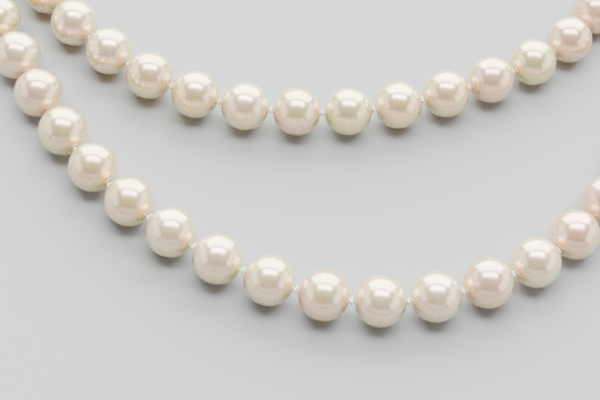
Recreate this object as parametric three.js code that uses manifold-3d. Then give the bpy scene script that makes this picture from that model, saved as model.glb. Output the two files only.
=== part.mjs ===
// A double-strand pearl necklace, laid out flat as a closed oval.
// Lengths are in millimetres and angles in degrees. +X is to the wearer's left,
// +Y runs from the front of the necklace to the clasp at the back, and +Z is up.
import * as THREE from 'three';
import { mergeVertices } from 'three/addons/utils/BufferGeometryUtils.js';
import Module from 'manifold-3d';

// Strands. Each route is the silk's path from the knot at the left clasp half,
// round the front, to the knot at the right clasp half. Knots are evenly spaced
// along it, and one pearl sits between each knot and the next. Pearls from the first
// to the last loose one are separate drilled pieces that turn on the silk.
const INNER = {
  name: 'inner',
  pearl: 7.4,
  pearls: 51,
  loose: [19, 32],
  route: [
    [-13, 165], [-22, 164], [-34.5, 155.5], [-45.5, 138.5], [-51.5, 115.5],
    [-53, 84], [-52, 58], [-48.5, 40.5], [-38, 25.5], [-18, 14.5],
    [5.5, 14.5], [27.5, 24], [41.5, 36], [48.5, 54], [52, 82],
    [50.5, 115.5], [43, 138.5], [31.5, 155.5], [18, 164], [9, 165],
  ],
};
const OUTER = {
  name: 'outer',
  pearl: 7.5,
  pearls: 61,
  loose: [21, 36],
  route: [
    [-13, 173.5], [-24, 172], [-40, 161.5], [-53.5, 142.5], [-60.5, 116.5],
    [-62, 84], [-60, 56], [-55, 34], [-46, 18.5], [-31, -1], [-10.5, -14.5],
    [13, -18.5], [35, -9], [47.5, 7.5], [54.5, 28], [59.5, 54], [61, 84],
    [59.5, 119.5], [51.5, 144.5], [37.5, 162], [20, 172], [9, 173.5],
  ],
};

// Sectors between fold lines. A fold line passes through one knot of each strand, and
// each pair of numbers is the knots where a sector starts and ends on that strand.
const SECTORS = [
  { name: 'left_4', side: 'left', inner: [0, 6], outer: [0, 7] },
  { name: 'left_3', side: 'left', inner: [6, 13], outer: [7, 14] },
  { name: 'left_2', side: 'left', inner: [13, 20], outer: [14, 23] },
  { name: 'left_1', side: 'left', inner: [20, 23], outer: [23, 27] },
  { name: 'front', side: 'front', inner: [23, 28], outer: [27, 32] },
  { name: 'right_1', side: 'right', inner: [28, 31], outer: [32, 35] },
  { name: 'right_2', side: 'right', inner: [31, 37], outer: [35, 46] },
  { name: 'right_3', side: 'right', inner: [37, 45], outer: [46, 54] },
  { name: 'right_4', side: 'right', inner: [45, 51], outer: [54, 61] },
];

// Silk.
const SILK_R = 0.25;
const KNOT_R = 0.5;
const KNOT_HALF = 0.2;
const BRIDGE_HALF = 0.6;
const HOLE_R = 0.42;
const SILK_START = 0.5;

// Clasp.
const CLASP_X = -2;
const CLASP_GAP = 0.3;
const SHELL_LENGTH = 6;
const SHELL_WIDTH = 13.4;
const SHELL_HEIGHT = 5.2;
const SHELL_ROUND = 0.7;
const POCKET_DEPTH = 2.2;
const POCKET_WIDTH = 9;
const POCKET_HEIGHT = 2.8;
const MAGNET_CLEARANCE = 0.05;
const RING_OUT = 7.6;
const RING_R = 1;
const RING_WIRE = 0.3;
const STEM_SINK = 0.3;
const GIMP_R = 0.25;
const GIMP_BEND = 0.95;
const GIMP_END_GAP = 0.3;

// How finely curves are cut.
const ROUTE_STEPS = 60;
const BALL_DETAIL = 1;
const PEARL_SIDES = 10;
const PEARL_BANDS = 6;
const SILK_SIDES = 6;
const RING_SIDES = 5;
const RING_SEGMENTS = 12;
const ROUND_STEPS = 2;

const wasm = await Module();
wasm.setup();

// One point of a uniform Catmull-Rom curve, t of the way from b to c.
function curvePoint(a, b, c, d, t) {
  return [0, 1].map((k) => 0.5 * (
    2 * b[k]
    + (c[k] - a[k]) * t
    + (2 * a[k] - 5 * b[k] + 4 * c[k] - d[k]) * t * t
    + (3 * b[k] - a[k] - 3 * c[k] + d[k]) * t * t * t
  ));
}

// A strand's route as many short straight steps.
function finePath(route) {
  const mirror = (end, next) => end.map((v, k) => 2 * v - next[k]);
  const last = route.length - 1;
  const points = [
    mirror(route[0], route[1]),
    ...route,
    mirror(route[last], route[last - 1]),
  ];
  const path = [];
  for (let i = 1; i <= last; i += 1) {
    for (let j = 0; j < ROUTE_STEPS; j += 1) {
      path.push(curvePoint(...points.slice(i - 1, i + 3), j / ROUTE_STEPS));
    }
  }
  path.push(route[last]);
  return path.map(([x, y]) => new THREE.Vector3(x, y, 0));
}

// Evenly spaced knots along a strand, at the height of its pearls' holes.
function knotsOf(strand) {
  const path = finePath(strand.route);
  const travelled = [0];
  for (let i = 1; i < path.length; i += 1) {
    travelled.push(travelled[i - 1] + path[i].distanceTo(path[i - 1]));
  }
  const pitch = travelled[path.length - 1] / strand.pearls;
  const knots = [];
  let i = 1;
  for (let n = 0; n <= strand.pearls; n += 1) {
    while (i < path.length - 1 && travelled[i] < n * pitch) {
      i += 1;
    }
    const t = (n * pitch - travelled[i - 1]) / (travelled[i] - travelled[i - 1]);
    const point = path[i - 1].clone().lerp(path[i], t);
    knots.push(point.setZ(strand.pearl / 2));
  }
  return knots;
}

function middle(a, b) {
  return a.clone().lerp(b, 0.5);
}

// The turn that carries +X to the direction from a to b.
function facing(a, b) {
  const direction = b.clone().sub(a).normalize();
  return new THREE.Quaternion().setFromUnitVectors(new THREE.Vector3(1, 0, 0), direction);
}

function placed(geometry, position, quaternion) {
  const matrix = new THREE.Matrix4();
  matrix.compose(position, quaternion, new THREE.Vector3(1, 1, 1));
  return geometry.applyMatrix4(matrix);
}

function toSolid(geometry) {
  const plain = geometry.clone();
  plain.deleteAttribute('normal');
  plain.deleteAttribute('uv');
  const merged = mergeVertices(plain, 1e-4);
  return new wasm.Manifold(new wasm.Mesh({
    numProp: 3,
    vertProperties: new Float32Array(merged.attributes.position.array),
    triVerts: new Uint32Array(merged.index.array),
  }));
}

function toGeometry(solid) {
  const mesh = solid.getMesh();
  const geometry = new THREE.BufferGeometry();
  geometry.setAttribute('position', new THREE.BufferAttribute(mesh.vertProperties, 3));
  geometry.setIndex(new THREE.BufferAttribute(mesh.triVerts, 1));
  return geometry;
}

function fused(geometries) {
  return geometries.map(toSolid).reduce((whole, piece) => whole.add(piece));
}

function isLoose(strand, n) {
  return n >= strand.loose[0] && n <= strand.loose[1];
}

// A drilled pearl, turned about its hole, which lies along +X.
function drilledPearl(radius) {
  const start = Math.asin(HOLE_R / radius);
  const profile = [];
  for (let i = 0; i <= PEARL_BANDS; i += 1) {
    const angle = start + (i / PEARL_BANDS) * (Math.PI - 2 * start);
    profile.push(new THREE.Vector2(radius * Math.sin(angle), -radius * Math.cos(angle)));
  }
  profile.push(profile[0].clone());
  return new THREE.LatheGeometry(profile, PEARL_SIDES).rotateZ(-Math.PI / 2);
}

// A pearl without its hole, for a run that is one piece with its silk.
function plainPearl(radius, a, b) {
  const ball = new THREE.IcosahedronGeometry(radius, BALL_DETAIL);
  return placed(ball, middle(a, b), facing(a, b));
}

function knot(half, at, before, after) {
  const lump = new THREE.OctahedronGeometry(1, 0).scale(half, KNOT_R, KNOT_R);
  return placed(lump, at, facing(before, after));
}

// A straight length of silk between two points.
function thread(a, b) {
  const rod = new THREE.CylinderGeometry(SILK_R, SILK_R, a.distanceTo(b), SILK_SIDES);
  rod.rotateZ(Math.PI / 2);
  return placed(rod, middle(a, b), facing(a, b));
}

// The point at a distance from knot a towards knot b.
function pastKnot(a, b, distance) {
  return a.clone().add(b.clone().sub(a).setLength(distance));
}

// Everything on a strand from one knot to another that is one piece: the silk, its
// knots and the pearls that are not loose. A sector's knot nearer the clasp is its own,
// and so is the last knot before the clasp. At its other end the silk stops inside
// the pearl's hole, short of the next sector's knot.
function strandPieces(strand, knots, [first, last], side) {
  const ownsFirst = first === 0 || side !== 'right';
  const ownsLast = last === strand.pearls || side !== 'left';
  const isPlain = (n) => n >= first && n < last && !isLoose(strand, n);
  const pieces = [];
  for (let n = first; n < last; n += 1) {
    if (isPlain(n)) {
      pieces.push(plainPearl(strand.pearl / 2, knots[n], knots[n + 1]));
    } else {
      const open = (n === first && !ownsFirst) ? SILK_START : 0;
      const close = (n + 1 === last && !ownsLast) ? SILK_START : 0;
      pieces.push(thread(
        pastKnot(knots[n], knots[n + 1], open),
        pastKnot(knots[n + 1], knots[n], close),
      ));
    }
  }
  for (let n = ownsFirst ? first : first + 1; n <= (ownsLast ? last : last - 1); n += 1) {
    const before = knots[Math.max(n - 1, 0)];
    const after = knots[Math.min(n + 1, strand.pearls)];
    const bridges = isPlain(n - 1) && isPlain(n);
    pieces.push(knot(bridges ? BRIDGE_HALF : KNOT_HALF, knots[n], before, after));
    if (isPlain(n - 1) && !bridges) {
      pieces.push(thread(knots[n], middle(knots[n], before)));
    }
    if (isPlain(n) && !bridges) {
      pieces.push(thread(knots[n], middle(knots[n], after)));
    }
  }
  return pieces;
}

// One clasp half. Its mating face is at x = 0 and its rings are towards +X, with
// their axes through (RING_OUT, +-spacing / 2).
function shell(spacing) {
  const wide = SHELL_WIDTH / 2 - SHELL_ROUND;
  const high = SHELL_HEIGHT / 2 - SHELL_ROUND;
  const outline = new THREE.Shape();
  outline.moveTo(-wide, -high);
  outline.lineTo(wide, -high);
  outline.lineTo(wide, high);
  outline.lineTo(-wide, high);
  outline.closePath();
  const block = new THREE.ExtrudeGeometry(outline, {
    depth: SHELL_LENGTH - 2 * SHELL_ROUND,
    bevelThickness: SHELL_ROUND,
    bevelSize: SHELL_ROUND,
    bevelSegments: ROUND_STEPS,
  });
  block.translate(0, 0, SHELL_ROUND);
  block.rotateX(Math.PI / 2);
  block.rotateZ(Math.PI / 2);
  const pocket = new THREE.BoxGeometry(2 * POCKET_DEPTH, POCKET_WIDTH, POCKET_HEIGHT);
  let solid = toSolid(block).subtract(toSolid(pocket));
  const stemEnd = RING_OUT - RING_R;
  const stemStart = SHELL_LENGTH - STEM_SINK;
  for (const side of [-1, 1]) {
    const y = side * spacing / 2;
    const ring = new THREE.TorusGeometry(RING_R, RING_WIRE, RING_SIDES, RING_SEGMENTS);
    ring.rotateX(Math.PI / 2);
    ring.translate(RING_OUT, y, 0);
    const stem = thread(
      new THREE.Vector3(stemStart, y, 0),
      new THREE.Vector3(stemEnd, y, 0),
    );
    solid = solid.add(fused([ring, stem]));
  }
  return toGeometry(solid);
}

function magnet() {
  const bar = new THREE.BoxGeometry(
    POCKET_DEPTH - 2 * MAGNET_CLEARANCE,
    POCKET_WIDTH - 2 * MAGNET_CLEARANCE,
    POCKET_HEIGHT - 2 * MAGNET_CLEARANCE,
  );
  return bar.translate(POCKET_DEPTH / 2, 0, 0);
}

// A long loop of gimp, flat in the XY plane, from the origin to x = -length.
function gimpLoop(length) {
  const loop = new THREE.TorusGeometry(GIMP_BEND, GIMP_R, RING_SIDES, RING_SEGMENTS);
  loop.rotateZ(Math.PI / RING_SEGMENTS);
  const stretch = length / 2 - GIMP_BEND;
  const position = loop.attributes.position;
  for (let i = 0; i < position.count; i += 1) {
    const x = position.getX(i);
    position.setX(i, x + Math.sign(x) * stretch - length / 2);
  }
  return loop;
}

const materials = {
  pearl: new THREE.MeshStandardMaterial({ color: 0xf2ebe0, roughness: 0.25 }),
  silk: new THREE.MeshStandardMaterial({ color: 0xf0ece2, roughness: 0.9 }),
  metal: new THREE.MeshStandardMaterial({ color: 0xd9b36a, roughness: 0.3, metalness: 1 }),
  magnet: new THREE.MeshStandardMaterial({ color: 0xb8b8ba, roughness: 0.35, metalness: 1 }),
};

function piece(name, geometry, material) {
  const mesh = new THREE.Mesh(geometry, material);
  mesh.name = name;
  return mesh;
}

const necklace = new THREE.Group();

for (const strand of [INNER, OUTER]) {
  const knots = knotsOf(strand);
  const radius = strand.pearl / 2;
  const pearlShape = drilledPearl(radius);
  const [firstLoose, lastLoose] = strand.loose;
  for (let n = firstLoose; n <= lastLoose; n += 1) {
    const name = `${strand.name}_pearl_${n - firstLoose + 1}`;
    const pearl = piece(name, pearlShape, materials.pearl);
    pearl.position.copy(middle(knots[n], knots[n + 1]));
    pearl.quaternion.copy(facing(knots[n], knots[n + 1]));
    necklace.add(pearl);
  }
  for (const sector of SECTORS) {
    const [first, last] = sector[strand.name];
    const isSilk = first >= firstLoose && last <= lastLoose + 1;
    const solid = fused(strandPieces(strand, knots, [first, last], sector.side));
    necklace.add(piece(
      `${strand.name}_${isSilk ? 'silk' : 'run'}_${sector.name}`,
      toGeometry(solid),
      isSilk ? materials.silk : materials.pearl,
    ));
  }
}

const innerY = INNER.route[0][1];
const outerY = OUTER.route[0][1];
for (const [side, direction] of [['left', -1], ['right', 1]]) {
  const half = new THREE.Group();
  half.position.set(
    CLASP_X + direction * CLASP_GAP / 2,
    (innerY + outerY) / 2,
    SHELL_HEIGHT / 2,
  );
  half.rotation.z = direction < 0 ? Math.PI : 0;
  half.add(piece(`clasp_shell_${side}`, shell(outerY - innerY), materials.metal));
  half.add(piece(`clasp_magnet_${side}`, magnet(), materials.magnet));
  necklace.add(half);
  for (const strand of [INNER, OUTER]) {
    const end = strand.route.at(direction < 0 ? 0 : -1);
    const knotPoint = new THREE.Vector3(...end, strand.pearl / 2);
    const ringPoint = new THREE.Vector3(
      CLASP_X + direction * (CLASP_GAP / 2 + RING_OUT),
      end[1],
      SHELL_HEIGHT / 2,
    );
    const reach = ringPoint.distanceTo(knotPoint) - KNOT_HALF - GIMP_END_GAP - GIMP_R;
    const loop = piece(`${strand.name}_gimp_${side}`, gimpLoop(reach), materials.metal);
    loop.position.copy(ringPoint);
    loop.quaternion.copy(facing(knotPoint, ringPoint));
    necklace.add(loop);
  }
}

// The origin is the middle of the necklace's outline, on the surface it lies on.
const box = new THREE.Box3().setFromObject(necklace, true);
const centre = box.getCenter(new THREE.Vector3());
necklace.position.set(-centre.x, -centre.y, -box.min.z);
const group = new THREE.Group();
group.add(necklace);

export default group;
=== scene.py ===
"""A double-strand knotted pearl necklace, laid out flat. Lengths are in metres."""

import math

import bmesh
import bpy
import numpy as np
from mathutils import Matrix, Vector


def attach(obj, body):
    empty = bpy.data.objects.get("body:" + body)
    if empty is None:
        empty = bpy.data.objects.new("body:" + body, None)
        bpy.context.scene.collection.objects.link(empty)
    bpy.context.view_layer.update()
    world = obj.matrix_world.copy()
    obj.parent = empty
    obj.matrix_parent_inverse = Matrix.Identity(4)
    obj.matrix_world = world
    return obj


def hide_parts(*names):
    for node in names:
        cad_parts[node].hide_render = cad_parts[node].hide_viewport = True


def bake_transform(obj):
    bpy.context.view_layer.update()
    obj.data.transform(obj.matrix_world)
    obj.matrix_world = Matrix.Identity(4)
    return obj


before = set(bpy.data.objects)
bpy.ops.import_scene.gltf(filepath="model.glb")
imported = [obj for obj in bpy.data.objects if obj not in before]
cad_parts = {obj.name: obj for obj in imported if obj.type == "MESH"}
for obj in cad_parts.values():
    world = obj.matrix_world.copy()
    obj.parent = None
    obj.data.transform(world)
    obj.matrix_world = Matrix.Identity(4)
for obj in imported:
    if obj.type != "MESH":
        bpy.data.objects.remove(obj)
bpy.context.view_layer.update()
MM = 0.001

# ---------------------------------------------------------------- camera
CAMERA_TARGET = Vector((0.5, -77.6, 0.0)) * MM
CAMERA_DISTANCE = 250 * MM
CAMERA_ELEVATION = math.radians(55.9)
CAMERA_ROLL = math.radians(6.5)
CAMERA_LENS = 100.3
SENSOR_WIDTH = 36.0


def make_camera():
    data = bpy.data.cameras.new("camera")
    data.lens = CAMERA_LENS
    data.sensor_width = SENSOR_WIDTH
    data.clip_start = 10 * MM
    data.clip_end = 10.0
    camera = bpy.data.objects.new("camera", data)
    bpy.context.scene.collection.objects.link(camera)
    back = Vector((0, -math.cos(CAMERA_ELEVATION), math.sin(CAMERA_ELEVATION)))
    right = Vector((1, 0, 0))
    up = back.cross(right)
    turn = Matrix((right, up, back)).transposed() @ Matrix.Rotation(CAMERA_ROLL, 3, "Z")
    place = Matrix.Translation(CAMERA_TARGET + CAMERA_DISTANCE * back)
    camera.matrix_world = place @ turn.to_4x4()
    bpy.context.scene.camera = camera


make_camera()

# ---------------------------------------------------------------- strands
# Each route is the silk's path from the knot at the left clasp half, round the
# front, to the knot at the right clasp half. SHIFT moves it to the part's origin.
SHIFT = np.array([0.505, -77.563])
INNER = {
    "name": "inner",
    "radius": 3.70 * MM,
    "pearls": 51,
    "loose": (19, 32),
    "route": [
        (-13, 165), (-22, 164), (-34.5, 155.5), (-45.5, 138.5), (-51.5, 115.5),
        (-53, 84), (-52, 58), (-48.5, 40.5), (-38, 25.5), (-18, 14.5),
        (5.5, 14.5), (27.5, 24), (41.5, 36), (48.5, 54), (52, 82),
        (50.5, 115.5), (43, 138.5), (31.5, 155.5), (18, 164), (9, 165),
    ],
}
OUTER = {
    "name": "outer",
    "radius": 3.75 * MM,
    "pearls": 61,
    "loose": (21, 36),
    "route": [
        (-13, 173.5), (-24, 172), (-40, 161.5), (-53.5, 142.5), (-60.5, 116.5),
        (-62, 84), (-60, 56), (-55, 34), (-46, 18.5), (-31, -1), (-10.5, -14.5),
        (13, -18.5), (35, -9), (47.5, 7.5), (54.5, 28), (59.5, 54), (61, 84),
        (59.5, 119.5), (51.5, 144.5), (37.5, 162), (20, 172), (9, 173.5),
    ],
}
# Sectors between fold lines: the knots where each starts and ends on each strand.
SECTORS = [
    {"name": "left_4", "side": "left", "inner": (0, 6), "outer": (0, 7)},
    {"name": "left_3", "side": "left", "inner": (6, 13), "outer": (7, 14)},
    {"name": "left_2", "side": "left", "inner": (13, 20), "outer": (14, 23)},
    {"name": "left_1", "side": "left", "inner": (20, 23), "outer": (23, 27)},
    {"name": "front", "side": "front", "inner": (23, 28), "outer": (27, 32)},
    {"name": "right_1", "side": "right", "inner": (28, 31), "outer": (32, 35)},
    {"name": "right_2", "side": "right", "inner": (31, 37), "outer": (35, 46)},
    {"name": "right_3", "side": "right", "inner": (37, 45), "outer": (46, 54)},
    {"name": "right_4", "side": "right", "inner": (45, 51), "outer": (54, 61)},
]
ROUTE_STEPS = 60


def fine_path(route):
    """A uniform Catmull-Rom curve through the route's points, as short steps."""
    points = np.array(route, float)
    ends = 2 * points[[0, -1]] - points[[1, -2]]
    points = np.vstack([ends[:1], points, ends[1:]])
    path = []
    for i in range(1, len(points) - 2):
        a, b, c, d = points[i - 1 : i + 3]
        for j in range(ROUTE_STEPS):
            t = j / ROUTE_STEPS
            path.append(
                0.5
                * (
                    2 * b
                    + (c - a) * t
                    + (2 * a - 5 * b + 4 * c - d) * t**2
                    + (3 * b - a - 3 * c + d) * t**3
                )
            )
    path.append(points[-2])
    return np.array(path)


def knots_of(strand):
    """Evenly spaced knots along a strand, at the height of its pearls' holes."""
    path = fine_path(strand["route"])
    steps = np.linalg.norm(np.diff(path, axis=0), axis=1)
    travelled = np.concatenate([[0], np.cumsum(steps)])
    wanted = np.linspace(0, travelled[-1], strand["pearls"] + 1)
    flat = np.stack([np.interp(wanted, travelled, path[:, k]) for k in (0, 1)], axis=1)
    flat = (flat + SHIFT) * MM
    return [Vector((x, y, strand["radius"])) for x, y in flat]


# ---------------------------------------------------------------- mesh helpers
NEARLY_UPRIGHT = 0.1


def mesh_object(name, points, faces, smooth=True):
    mesh = bpy.data.meshes.new(name)
    mesh.from_pydata([tuple(p) for p in points], [], faces)
    if smooth:
        mesh.shade_smooth()
    mesh.update()
    piece = bpy.data.objects.new(name, mesh)
    bpy.context.scene.collection.objects.link(piece)
    return piece


def ring_faces(rings, sides, closed=False):
    """Quads between rings of points. Open ends are closed by a flat face each."""
    faces = []
    for i in range(rings if closed else rings - 1):
        for j in range(sides):
            k = (j + 1) % sides
            a, b = i * sides, ((i + 1) % rings) * sides
            faces.append((a + j, a + k, b + k, b + j))
    if not closed:
        faces.append(tuple(range(sides - 1, -1, -1)))
        faces.append(tuple((rings - 1) * sides + j for j in range(sides)))
    return faces


def carried_frames(path, closed=False):
    """Two directions across a path at each point, carried along with no twist."""
    path = np.asarray(path, float)
    if closed:
        tangents = np.roll(path, -1, axis=0) - np.roll(path, 1, axis=0)
    else:
        tangents = np.gradient(path, axis=0)
    tangents /= np.linalg.norm(tangents, axis=1)[:, None]
    start = np.cross(tangents[0], (0.0, 0.0, 1.0))
    if np.linalg.norm(start) < NEARLY_UPRIGHT:
        start = np.cross(tangents[0], (0.0, 1.0, 0.0))
    normal = start / np.linalg.norm(start)
    normals = []
    for tangent in tangents:
        normal = normal - tangent * normal.dot(tangent)
        normal = normal / np.linalg.norm(normal)
        normals.append(normal)
    normals = np.array(normals)
    if closed:
        # The turn left over after one lap is spread along the loop.
        last = normals[-1] - tangents[0] * normals[-1].dot(tangents[0])
        across = np.cross(tangents[0], normals[0])
        extra = math.atan2(last.dot(across), last.dot(normals[0]))
        angles = -extra * np.arange(len(path)) / len(path)
        others = np.cross(tangents, normals)
        normals = normals * np.cos(angles)[:, None] + others * np.sin(angles)[:, None]
    return normals, np.cross(tangents, normals)


def tube(path, radius, sides, closed=False, lobes=0, lobe_depth=0.0, twist=None):
    """A tube along a path. Lobes turn by `twist` at each point, as in laid thread."""
    path = np.asarray(path, float)
    normals, others = carried_frames(path, closed)
    angles = np.linspace(0, 2 * math.pi, sides, endpoint=False)
    turns = np.zeros(len(path)) if twist is None else np.asarray(twist)
    lobed = 1 + lobe_depth * np.cos(lobes * (angles[None] - turns[:, None]))
    across = normals[:, None] * np.cos(angles)[None, :, None]
    across = across + others[:, None] * np.sin(angles)[None, :, None]
    radii = np.broadcast_to(np.asarray(radius, float), (len(path),))
    points = path[:, None] + across * (radii[:, None] * lobed)[:, :, None]
    return points.reshape(-1, 3), ring_faces(len(path), sides, closed)


def gathered(parts):
    """Several (points, faces) as one."""
    points, faces, count = [], [], 0
    for part_points, part_faces in parts:
        points.append(np.asarray(part_points, float))
        faces += [tuple(i + count for i in face) for face in part_faces]
        count += len(part_points)
    return np.vstack(points), faces


def facing(a, b, at):
    """The place of a piece made along +X at the origin, so that it lies from a to b."""
    direction = (b - a).normalized()
    side = Vector((0, 0, 1)).cross(direction).normalized()
    columns = Matrix((direction, side, direction.cross(side))).transposed()
    return Matrix.Translation(at) @ columns.to_4x4()


# ---------------------------------------------------------------- materials
# Noise mostly lies between these two, so they are the ends of a mix of two colours.
NOISE_LOW = 0.35
NOISE_HIGH = 0.65


def new_material(name):
    material = bpy.data.materials.new(name)
    material.use_nodes = True
    nodes = material.node_tree.nodes
    nodes.clear()
    output = nodes.new("ShaderNodeOutputMaterial")
    shader = nodes.new("ShaderNodeBsdfPrincipled")
    material.node_tree.links.new(shader.outputs["BSDF"], output.inputs["Surface"])
    return material, material.node_tree, shader


def add_noise(tree, vector, scale, detail=3.0):
    noise = tree.nodes.new("ShaderNodeTexNoise")
    noise.inputs["Scale"].default_value = scale
    noise.inputs["Detail"].default_value = detail
    tree.links.new(vector, noise.inputs["Vector"])
    return noise


def add_range(tree, value, low, high, from_low=0.0, from_high=1.0):
    mapped = tree.nodes.new("ShaderNodeMapRange")
    mapped.inputs["From Min"].default_value = from_low
    mapped.inputs["From Max"].default_value = from_high
    mapped.inputs["To Min"].default_value = low
    mapped.inputs["To Max"].default_value = high
    tree.links.new(value, mapped.inputs["Value"])
    return mapped.outputs["Result"]


def noise_share(tree, noise):
    return add_range(tree, noise.outputs["Fac"], 0.0, 1.0, NOISE_LOW, NOISE_HIGH)


def add_mix(tree, factor, a, b, blend="MIX"):
    """Two colours mixed by a socket, or by one fixed share."""
    mix = tree.nodes.new("ShaderNodeMix")
    mix.data_type = "RGBA"
    mix.blend_type = blend
    if isinstance(factor, float):
        mix.inputs["Factor"].default_value = factor
    else:
        tree.links.new(factor, mix.inputs["Factor"])
    for socket, value in ((mix.inputs["A"], a), (mix.inputs["B"], b)):
        if isinstance(value, tuple):
            socket.default_value = (*value, 1.0)
        else:
            tree.links.new(value, socket)
    return mix.outputs["Result"]


def add_bump(tree, shader, height, distance, strength=1.0):
    bump = tree.nodes.new("ShaderNodeBump")
    bump.inputs["Strength"].default_value = strength
    bump.inputs["Distance"].default_value = distance
    tree.links.new(height, bump.inputs["Height"])
    tree.links.new(bump.outputs["Normal"], shader.inputs["Normal"])


# Each kind of pearl: body colour, overtone, and the film thickness in nanometres
# that gives the overtone of its gloss.
PEARL_KINDS = {
    "rose": ((0.80, 0.59, 0.41), (0.82, 0.54, 0.40), 495.0),
    "cream": ((0.80, 0.65, 0.39), (0.80, 0.61, 0.36), 480.0),
    "ivory": ((0.78, 0.67, 0.41), (0.75, 0.66, 0.36), 470.0),
    "peach": ((0.83, 0.59, 0.40), (0.78, 0.63, 0.37), 580.0),
    "white": ((0.82, 0.69, 0.49), (0.82, 0.65, 0.45), 490.0),
}


CLOUD_SCALE = 0.35 / MM
PIT_SCALE = 0.55 / MM
PIT_SIZE = 0.07
PIT_TINT = (0.86, 0.80, 0.72)
NO_TINT = (1.0, 1.0, 1.0)
NACRE_GRAIN = 3.0 / MM
NACRE_ROUGHNESS = (0.22, 0.32)
RIPPLE_SCALE = 0.6 / MM
RIPPLE_HEIGHT = 0.008 * MM
RIPPLE_STRENGTH = 0.4
NACRE_FINISH = {
    "Metallic": 0.42,
    "IOR": 2.3,
    "Subsurface Weight": 0.3,
    "Subsurface Radius": (1.0, 0.72, 0.5),
    "Subsurface Scale": 0.8 * MM,
    "Coat Weight": 1.0,
    "Coat Roughness": 0.15,
    "Coat IOR": 2.2,
    "Coat Tint": (1.0, 0.95, 0.80, 1.0),
    "Thin Film IOR": 1.38,
}


def set_finish(shader, finish):
    for socket, value in finish.items():
        shader.inputs[socket].default_value = value


def pearl_material(kind):
    body, overtone, film = PEARL_KINDS[kind]
    material, tree, shader = new_material(f"nacre_{kind}")
    grain = tree.nodes.new("ShaderNodeAttribute")
    grain.attribute_name = "grain"
    place = grain.outputs["Vector"]
    clouds = add_noise(tree, place, CLOUD_SCALE, 2.0)
    colour = add_mix(tree, noise_share(tree, clouds), body, overtone)
    specks = tree.nodes.new("ShaderNodeTexVoronoi")
    specks.inputs["Scale"].default_value = PIT_SCALE
    tree.links.new(place, specks.inputs["Vector"])
    pit = add_range(tree, specks.outputs["Distance"], 1.0, 0.0, 0.0, PIT_SIZE)
    shade = add_mix(tree, pit, NO_TINT, PIT_TINT)
    pitted = add_mix(tree, 1.0, colour, shade, "MULTIPLY")
    tree.links.new(pitted, shader.inputs["Base Color"])
    fine = add_noise(tree, place, NACRE_GRAIN, 4.0)
    roughness = add_range(tree, fine.outputs["Fac"], *NACRE_ROUGHNESS, 0.3, 0.7)
    tree.links.new(roughness, shader.inputs["Roughness"])
    ripple = add_noise(tree, place, RIPPLE_SCALE, 1.0)
    height = tree.nodes.new("ShaderNodeMath")
    height.operation = "SUBTRACT"
    tree.links.new(ripple.outputs["Fac"], height.inputs[0])
    tree.links.new(pit, height.inputs[1])
    add_bump(tree, shader, height.outputs["Value"], RIPPLE_HEIGHT, RIPPLE_STRENGTH)
    set_finish(shader, NACRE_FINISH)
    shader.inputs["Thin Film Thickness"].default_value = film
    return material


FIBRE_SCALE = 9.0 / MM
FIBRE_HEIGHT = 0.03 * MM
SILK_DARK = (0.86, 0.82, 0.72)
SILK_LIGHT = (0.93, 0.91, 0.85)
SILK_ROUGHNESS = (0.6, 0.85)
SILK_FINISH = {"Sheen Weight": 0.5, "Sheen Roughness": 0.4}


def silk_material():
    material, tree, shader = new_material("silk")
    place = tree.nodes.new("ShaderNodeTexCoord").outputs["Object"]
    fibres = add_noise(tree, place, FIBRE_SCALE, 4.0)
    colour = add_mix(tree, noise_share(tree, fibres), SILK_DARK, SILK_LIGHT)
    tree.links.new(colour, shader.inputs["Base Color"])
    roughness = add_range(tree, fibres.outputs["Fac"], *SILK_ROUGHNESS)
    tree.links.new(roughness, shader.inputs["Roughness"])
    add_bump(tree, shader, fibres.outputs["Fac"], FIBRE_HEIGHT)
    set_finish(shader, SILK_FINISH)
    return material


# Metal is a little smoother and rougher from place to place, with fine scratches
# drawn out along X.
SMOOTHEST = 0.9
ROUGHEST = 1.15
SCRATCH_SCALE = 12.0 / MM
SCRATCH_STRETCH = (0.15, 1.0, 1.0)
SCRATCH_HEIGHT = 0.004 * MM
SCRATCH_STRENGTH = 0.2


def metal_material(name, dark, light, roughness, scale):
    material, tree, shader = new_material(name)
    place = tree.nodes.new("ShaderNodeTexCoord").outputs["Object"]
    wear = add_noise(tree, place, scale / MM, 5.0)
    colour = add_mix(tree, noise_share(tree, wear), dark, light)
    tree.links.new(colour, shader.inputs["Base Color"])
    low, high = roughness * SMOOTHEST, roughness * ROUGHEST
    rough = add_range(tree, wear.outputs["Fac"], low, high)
    tree.links.new(rough, shader.inputs["Roughness"])
    stretch = tree.nodes.new("ShaderNodeMapping")
    stretch.inputs["Scale"].default_value = SCRATCH_STRETCH
    tree.links.new(place, stretch.inputs["Vector"])
    scratches = add_noise(tree, stretch.outputs["Vector"], SCRATCH_SCALE, 2.0)
    add_bump(tree, shader, scratches.outputs["Fac"], SCRATCH_HEIGHT, SCRATCH_STRENGTH)
    shader.inputs["Metallic"].default_value = 1.0
    return material


PEARLS = {kind: pearl_material(kind) for kind in PEARL_KINDS}
SILK = silk_material()
GOLD = metal_material("gold", (0.82, 0.59, 0.27), (0.87, 0.65, 0.32), 0.24, 1.5)
GIMP = metal_material("gimp_wire", (0.78, 0.55, 0.25), (0.90, 0.69, 0.36), 0.24, 2.0)
NICKEL = metal_material("nickel", (0.55, 0.54, 0.52), (0.66, 0.65, 0.63), 0.28, 0.8)

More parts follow.
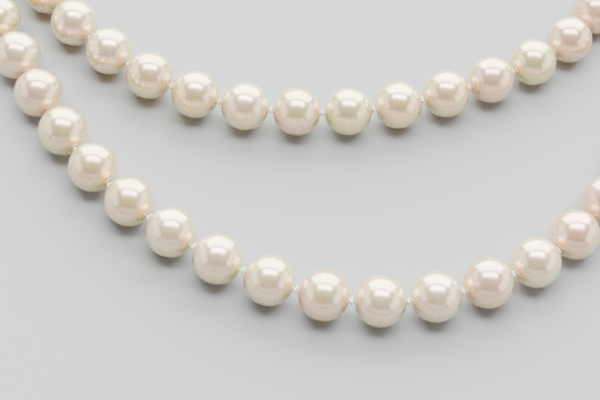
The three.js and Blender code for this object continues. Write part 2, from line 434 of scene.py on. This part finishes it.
# ---------------------------------------------------------------- pearls
HOLE_RADIUS = 0.42 * MM
HOLE_RIM = 0.07 * MM
HOLE_DEPTH = 1.5 * MM
PEARL_AROUND = 64
PEARL_ALONG = 40
OUT_OF_ROUND = 0.006
SMALLEST_SIZE = 0.993
DIMPLES = 3
DIMPLE_WIDTH = (0.10, 0.22)
DIMPLE_DEPTH = (0.002, 0.006)
BORE_STEP = 0.6
RIM_STEP = 0.3
SKIN_SHARE = 0.97
GRAIN_SHIFT = 100 * MM


def pearl_profile(radius):
    """(x, distance from the axis) from the middle of one drilled end to the other."""
    start = math.asin((HOLE_RADIUS + HOLE_RIM) / radius)
    arc = [
        (-radius * math.cos(a), radius * math.sin(a))
        for a in np.linspace(start, math.pi - start, PEARL_ALONG)
    ]
    mouth = radius * math.cos(start)
    left = [
        (-HOLE_DEPTH * BORE_STEP, HOLE_RADIUS),
        (-mouth + HOLE_DEPTH, HOLE_RADIUS),
        (-mouth + HOLE_RIM, HOLE_RADIUS),
        (-mouth + HOLE_RIM * RIM_STEP, HOLE_RADIUS + HOLE_RIM * RIM_STEP),
    ]
    right = [(-x, y) for x, y in reversed(left)]
    return np.array(left + arc + right)


def make_pearl(name, radius, seed, kind, place):
    rng = np.random.default_rng(seed)
    profile = pearl_profile(radius)
    angles = np.linspace(0, 2 * math.pi, PEARL_AROUND, endpoint=False)
    x = np.repeat(profile[:, 0], PEARL_AROUND)
    y = (profile[:, 1][:, None] * np.cos(angles)[None]).ravel()
    z = (profile[:, 1][:, None] * np.sin(angles)[None]).ravel()
    points = np.stack([x, y, z], axis=1)
    spread = np.linalg.norm(points, axis=1)
    unit = points / spread[:, None]
    # Nacre is never quite round: a slight flattening and a few shallow dimples.
    axis = rng.normal(size=3)
    axis /= np.linalg.norm(axis)
    flat = 1 - OUT_OF_ROUND * rng.random() * (unit @ axis) ** 2
    for _ in range(rng.integers(0, DIMPLES + 1)):
        spot = rng.normal(size=3)
        spot /= np.linalg.norm(spot)
        width = rng.uniform(*DIMPLE_WIDTH)
        near = np.exp(-((1 - unit @ spot) * 2) / width**2)
        flat -= rng.uniform(*DIMPLE_DEPTH) * near
    size = rng.uniform(SMALLEST_SIZE, 1.0)
    outside = spread > SKIN_SHARE * radius
    points = points * np.where(outside, flat * size, size)[:, None]
    faces = ring_faces(len(profile), PEARL_AROUND, closed=True)
    piece = mesh_object(name, points, faces)
    grain = piece.data.attributes.new("grain", "FLOAT_VECTOR", "POINT")
    moved = points + rng.uniform(-1, 1, size=3) * GRAIN_SHIFT
    grain.data.foreach_set("vector", moved.astype(np.float32).ravel())
    piece.data.materials.append(PEARLS[kind])
    piece.matrix_world = place
    return piece


# ---------------------------------------------------------------- silk
SILK_RADIUS = 0.23 * MM
KNOT_TUBE = 0.16 * MM
KNOT_LOOP = 0.15 * MM
KNOT_STEPS = 42
KNOT_SIDES = 9
KNOT_TWISTS = 4
KNOT_PLY_DEPTH = 0.10
THREAD_SIDES = 12
THREAD_PLY_DEPTH = 0.14
THREAD_OFFSETS = np.array([0.0, 0.12, 0.24, 0.36, 0.5, 0.7, 1.2]) * MM
PLIES = 3
PLY_TURNS = 0.8 / MM
KNOT_CLEARANCE = 0.03 * MM


def knot_shape(at, before, after, gap):
    """A small trefoil, the shape of an overhand knot, tight between two pearls."""
    half = gap / 2 - KNOT_TUBE - KNOT_CLEARANCE
    t = np.linspace(0, 2 * math.pi, KNOT_STEPS, endpoint=False)
    along = -half * np.sin(3 * t)
    side = KNOT_LOOP * (np.sin(t) + 2 * np.sin(2 * t))
    rise = KNOT_LOOP * (np.cos(t) - 2 * np.cos(2 * t))
    path = np.stack([along, side, rise], axis=1)
    turn = np.array(facing(before, after, at))
    path = path @ turn[:3, :3].T + turn[:3, 3]
    twist = np.arange(KNOT_STEPS) * 2 * math.pi * KNOT_TWISTS / KNOT_STEPS
    depth = KNOT_PLY_DEPTH
    return tube(path, KNOT_TUBE, KNOT_SIDES, True, lobes=PLIES, lobe_depth=depth, twist=twist)


def thread_shape(knots):
    """Twisted silk through a row of knots, with close steps where it shows."""
    offsets = THREAD_OFFSETS
    path = []
    for a, b in zip(knots[:-1], knots[1:]):
        span = (b - a).length
        steps = np.concatenate([offsets, [span / 2], span - offsets[:0:-1]])
        path += [a.lerp(b, s / span) for s in steps]
    path.append(knots[-1])
    path = np.array([tuple(p) for p in path])
    lengths = np.linalg.norm(np.diff(path, axis=0), axis=1)
    travelled = np.concatenate([[0], np.cumsum(lengths)])
    twist = travelled * PLY_TURNS * 2 * math.pi / PLIES
    depth = THREAD_PLY_DEPTH
    return tube(path, SILK_RADIUS, THREAD_SIDES, lobes=PLIES, lobe_depth=depth, twist=twist)


def finish_piece(piece, body, node):
    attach(piece, body)
    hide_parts(node)


def make_fold_knot(name, shape, node):
    """The knot on a fold line: a piece of silk of its own between the two sectors, left in
    place and attached to neither.
    """
    piece = mesh_object(name, *shape)
    piece.data.materials.append(SILK)
    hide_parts(node)
    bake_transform(piece)


KIND_NAMES = list(PEARL_KINDS)
KIND_ODDS = [0.30, 0.22, 0.20, 0.10, 0.18]
INNER_SEED = 100
OUTER_SEED = 300


def make_strung_pearl(strand, n, kind, seed, knots, sector, node):
    """Pearl n of a strand. A loose one turns on the silk, so it has a body of its own."""
    name = strand["name"]
    first_loose, last_loose = strand["loose"]
    loose = first_loose <= n <= last_loose
    number = n - first_loose + 1
    label = f"{name}_pearl_{number}" if loose else f"{name}_strung_{n + 1}"
    place = facing(knots[n], knots[n + 1], knots[n].lerp(knots[n + 1], 0.5))
    piece = make_pearl(f"{label}_nacre", strand["radius"], seed + n, kind, place)
    body = label if loose else sector["name"]
    finish_piece(piece, body, label if loose else node)


def owned_knots(strand, sector):
    """The knots made with a sector. A fold line's goes with the sector nearer the front."""
    first, last = sector[strand["name"]]
    if first > 0 and sector["side"] == "right":
        first += 1
    if last < strand["pearls"] and sector["side"] == "left":
        last -= 1
    return range(first, last + 1)


def make_sector_silk(strand, i, knots, node):
    """A sector's thread and knots. Knots on its fold lines are pieces of their own."""
    name = strand["name"]
    sector = SECTORS[i]
    first, last = sector[name]
    gap = (knots[1] - knots[0]).length - 2 * strand["radius"]
    parts = [thread_shape(knots[first : last + 1])]
    for n in owned_knots(strand, sector):
        before = knots[max(n - 1, 0)]
        after = knots[min(n + 1, strand["pearls"])]
        shape = knot_shape(knots[n], before, after, gap)
        if n == first > 0:
            bodies = SECTORS[i - 1]["name"], sector["name"]
        elif n == last < strand["pearls"]:
            bodies = sector["name"], SECTORS[i + 1]["name"]
        else:
            parts.append(shape)
            continue
        label = f"{name}_{bodies[0]}_{bodies[1]}_knot"
        make_fold_knot(label, shape, node)
    silk = mesh_object(f"{name}_silk_{sector['name']}_thread", *gathered(parts))
    silk.data.materials.append(SILK)
    finish_piece(silk, sector["name"], node)


def make_strand(strand, seed):
    knots = knots_of(strand)
    rng = np.random.default_rng(seed)
    kinds = rng.choice(KIND_NAMES, size=strand["pearls"], p=KIND_ODDS)
    name = strand["name"]
    first_loose, last_loose = strand["loose"]
    for i, sector in enumerate(SECTORS):
        first, last = sector[name]
        all_loose = first >= first_loose and last <= last_loose + 1
        node = f"{name}_{'silk' if all_loose else 'run'}_{sector['name']}"
        for n in range(first, last):
            make_strung_pearl(strand, n, kinds[n], seed, knots, sector, node)
        make_sector_silk(strand, i, knots, node)
    return knots


inner_knots = make_strand(INNER, INNER_SEED)
outer_knots = make_strand(OUTER, OUTER_SEED)

# ---------------------------------------------------------------- clasp
CLASP_X = -2.0
CLASP_GAP = 0.3
FACE_CLOSE = 0.06 * MM
RING_OUT = 7.6 * MM
RING_RADIUS = 1.0 * MM
RING_WIRE = 0.3 * MM
SHELL_HEIGHT = 5.2 * MM
RING_STEPS = 40
RING_SIDES = 14
# The solder between a ring and the shell: x and radius.
SOLDER_SECTIONS = [
    (5.8, 0.75), (5.98, 0.75), (6.05, 0.62), (6.15, 0.5), (6.3, 0.4), (6.5, 0.34), (6.65, 0.30),
]
SOLDER_SIDES = 18
SPACING = 8.5 * MM
CORNER_STEPS = 6
SHARP_ANGLE = math.radians(50)
# Cross-sections of a clasp half, from the floor of the magnet's pocket, out over
# the mating face and along the outside: x, half width, half height, corner radius.
SHELL_SECTIONS = [
    (2.2, 4.5, 1.4, 0.3), (0.10, 4.5, 1.4, 0.3), (0.0, 4.6, 1.5, 0.4),
    (0.0, 6.0, 1.95, 0.5), (0.06, 6.28, 2.2, 0.6), (0.24, 6.52, 2.42, 0.7),
    (0.48, 6.66, 2.56, 0.8), (0.75, 6.7, 2.6, 0.8), (1.15, 6.7, 2.6, 0.8),
    (1.23, 6.6, 2.5, 0.75), (1.37, 6.6, 2.5, 0.75), (1.45, 6.7, 2.6, 0.8),
    (4.55, 6.7, 2.6, 0.8), (4.63, 6.6, 2.5, 0.75), (4.77, 6.6, 2.5, 0.75),
    (4.85, 6.7, 2.6, 0.8), (5.25, 6.7, 2.6, 0.8), (5.52, 6.66, 2.56, 0.8),
    (5.76, 6.52, 2.42, 0.7), (5.94, 6.28, 2.2, 0.6), (6.0, 6.0, 1.95, 0.5),
]
MAGNET_SECTIONS = [
    (2.1, 4.3, 1.2, 0.25), (2.1, 4.4, 1.3, 0.3), (2.0, 4.45, 1.35, 0.3),
    (0.20, 4.45, 1.35, 0.3), (0.10, 4.4, 1.3, 0.3), (0.10, 4.3, 1.2, 0.25),
]


def rounded_ring(x, wide, high, corner):
    ring = []
    for turn, (sy, sz) in enumerate(((1, 1), (-1, 1), (-1, -1), (1, -1))):
        for k in range(CORNER_STEPS + 1):
            a = math.radians(90 * (turn + k / CORNER_STEPS))
            ring.append((
                x,
                sy * (wide - corner) + corner * math.cos(a),
                sz * (high - corner) + corner * math.sin(a),
            ))
    return ring


def loft(sections):
    rings = [rounded_ring(*section) for section in sections]
    sides = len(rings[0])
    return np.array(rings).reshape(-1, 3) * MM, ring_faces(len(rings), sides)


def ring_and_solder(y):
    """A closed end ring in the XZ plane, with its fillet of solder on the shell."""
    t = np.linspace(0, 2 * math.pi, RING_STEPS, endpoint=False)
    across = RING_OUT + RING_RADIUS * np.cos(t)
    circle = np.stack([across, np.full(RING_STEPS, y), RING_RADIUS * np.sin(t)], axis=1)
    wire = tube(circle, RING_WIRE, RING_SIDES, closed=True)
    xs, radii = np.array(SOLDER_SECTIONS).T * MM
    spine = np.stack([xs, np.full(len(xs), y), np.zeros(len(xs))], axis=1)
    return [wire, tube(spine, radii, SOLDER_SIDES)]


def turn_faces_out(piece):
    work = bmesh.new()
    work.from_mesh(piece.data)
    bmesh.ops.recalc_face_normals(work, faces=work.faces)
    work.to_mesh(piece.data)
    work.free()


def clasp_piece(name, parts, material, side):
    points, faces = gathered(parts)
    piece = mesh_object(name, points, faces)
    turn_faces_out(piece)
    piece.data.set_sharp_from_angle(angle=SHARP_ANGLE)
    piece.data.materials.append(material)
    turn = Matrix.Rotation(math.pi if side < 0 else 0.0, 4, "Z")
    x = (CLASP_X + side * CLASP_GAP / 2 + SHIFT[0]) * MM - side * FACE_CLOSE
    y = (INNER["route"][0][1] + OUTER["route"][0][1]) / 2 + SHIFT[1]
    piece.matrix_world = Matrix.Translation((x, y * MM, SHELL_HEIGHT / 2)) @ turn
    return piece


# ---------------------------------------------------------------- gimp
LOOP_HALF = 0.93 * MM
LOOP_ANGLE = math.radians(100)
LOOP_STEPS = 81
LEG_STEPS = 24
LEG_HALF_GAP = 0.12 * MM
KNOT_HALF = 0.15 * MM
GIMP_STEPS = 200
COIL_RADIUS = 0.20 * MM
COIL_WIRE = 0.055 * MM
COIL_PITCH = 0.125 * MM
COIL_STEPS_PER_TURN = 10
COIL_SIDES = 6
CORE_RADIUS = 0.17 * MM
CORE_SIDES = 8


def gimp_path(length):
    """A teardrop from the knot's side at x = -length round the ring at the origin."""
    angle = np.linspace(-1, 1, LOOP_STEPS) * LOOP_ANGLE
    bend_x = LOOP_HALF * np.cos(angle) - LOOP_HALF
    bend = np.stack([bend_x, LOOP_HALF * np.sin(angle)], axis=1)
    start = np.array([-length, -LEG_HALF_GAP])
    end = np.array([-length, LEG_HALF_GAP])
    there = np.linspace(start, bend[0], LEG_STEPS, endpoint=False)
    back = np.linspace(bend[-1], end, LEG_STEPS + 1)[1:]
    flat = np.vstack([there, bend, back])
    steps = np.linalg.norm(np.diff(flat, axis=0), axis=1)
    travelled = np.concatenate([[0], np.cumsum(steps)])
    wanted = np.linspace(0, travelled[-1], GIMP_STEPS)
    flat = np.stack([np.interp(wanted, travelled, flat[:, k]) for k in (0, 1)], axis=1)
    return np.hstack([flat, np.zeros((len(flat), 1))])


def sampled(values, travelled, wanted):
    """Rows of three numbers, read at other distances along a path."""
    return np.stack([np.interp(wanted, travelled, values[:, k]) for k in range(3)], axis=1)


def coil_along(path):
    steps = np.linalg.norm(np.diff(path, axis=0), axis=1)
    travelled = np.concatenate([[0], np.cumsum(steps)])
    turns = travelled[-1] / COIL_PITCH
    wanted = np.linspace(0, travelled[-1], int(turns * COIL_STEPS_PER_TURN))
    normals, others = carried_frames(path)
    angle = (wanted / COIL_PITCH * 2 * math.pi)[:, None]
    across = sampled(normals, travelled, wanted) * np.cos(angle)
    across = across + sampled(others, travelled, wanted) * np.sin(angle)
    middle = sampled(path, travelled, wanted)
    return tube(middle + COIL_RADIUS * across, COIL_WIRE, COIL_SIDES)


def make_gimp(strand, knot_point, side, label):
    ring_x = (CLASP_X + side * CLASP_GAP / 2 + SHIFT[0]) * MM + side * RING_OUT
    ring_point = Vector((ring_x, knot_point.y, SHELL_HEIGHT / 2))
    path = gimp_path((ring_point - knot_point).length - KNOT_HALF)
    node = f"{strand['name']}_gimp_{label}"
    coil = mesh_object(f"{node}_coil", *coil_along(path))
    coil.data.materials.append(GIMP)
    core = mesh_object(f"{node}_core", *tube(path, CORE_RADIUS, CORE_SIDES))
    core.data.materials.append(SILK)
    for piece, slot in ((coil, "gold"), (core, "silk")):
        piece.matrix_world = facing(knot_point, ring_point, ring_point)
        finish_piece(piece, f"{label}_4", node)


for side, label in ((-1, "left"), (1, "right")):
    end = 0 if side < 0 else -1
    shell_parts = [loft(SHELL_SECTIONS)]
    for y in (-SPACING / 2, SPACING / 2):
        shell_parts += ring_and_solder(y)
    shell = clasp_piece(f"clasp_case_{label}", shell_parts, GOLD, side)
    finish_piece(shell, f"clasp_{label}", f"clasp_shell_{label}")
    magnet = clasp_piece(f"clasp_bar_magnet_{label}", [loft(MAGNET_SECTIONS)], NICKEL, side)
    finish_piece(magnet, f"clasp_{label}", f"clasp_magnet_{label}")
    for strand, knots in ((INNER, inner_knots), (OUTER, outer_knots)):
        make_gimp(strand, knots[end], side, label)

# ---------------------------------------------------------------- stage
FLOOR_HALF = 1.5
FLOOR_COLOUR = (0.30, 0.30, 0.30, 1.0)
FLOOR_ROUGHNESS = 0.7
LIT_POINT = Vector((0.0, -0.08, 0.0))
# Soft lights all round: name, place, size, power in watts, colour.
LIGHTS = [
    ("backdrop", (0.0, 0.80, 0.62), (2.0, 1.1), 95.0, (0.92, 0.98, 1.0)),
    ("overhead", (0.0, -0.01, 0.70), (0.80, 0.26), 12.0, (0.93, 0.98, 1.0)),
    ("left_wall", (-0.95, -0.15, 0.35), (1.4, 0.6), 6.0, (0.96, 0.99, 1.0)),
    ("right_wall", (0.95, -0.15, 0.35), (1.4, 0.6), 8.0, (0.96, 0.99, 1.0)),
    ("front_wall", (0.0, -1.05, 0.22), (1.8, 0.3), 2.5, (0.96, 0.99, 1.0)),
]
WORLD_COLOUR = (0.80, 0.82, 0.85, 1.0)
WORLD_STRENGTH = 0.15


def make_floor():
    half = FLOOR_HALF
    corners = [(-half, -half, 0), (half, -half, 0), (half, half, 0), (-half, half, 0)]
    floor = mesh_object("floor", corners, [(0, 1, 2, 3)], smooth=False)
    material, _, shader = new_material("floor")
    shader.inputs["Base Color"].default_value = FLOOR_COLOUR
    shader.inputs["Roughness"].default_value = FLOOR_ROUGHNESS
    floor.data.materials.append(material)


def area_light(name, place, size, power, colour):
    data = bpy.data.lights.new(name, "AREA")
    data.shape = "RECTANGLE"
    data.size, data.size_y = size
    data.energy = power
    data.color = colour
    light = bpy.data.objects.new(name, data)
    bpy.context.scene.collection.objects.link(light)
    light.location = place
    light.visible_camera = False
    direction = LIT_POINT - Vector(place)
    light.rotation_euler = direction.to_track_quat("-Z", "Y").to_euler()


def make_world():
    world = bpy.data.worlds.new("world")
    world.use_nodes = True
    background = world.node_tree.nodes["Background"]
    background.inputs["Color"].default_value = WORLD_COLOUR
    background.inputs["Strength"].default_value = WORLD_STRENGTH
    bpy.context.scene.world = world


make_floor()
for light_row in LIGHTS:
    area_light(*light_row)
make_world()

bpy.context.view_layer.update()
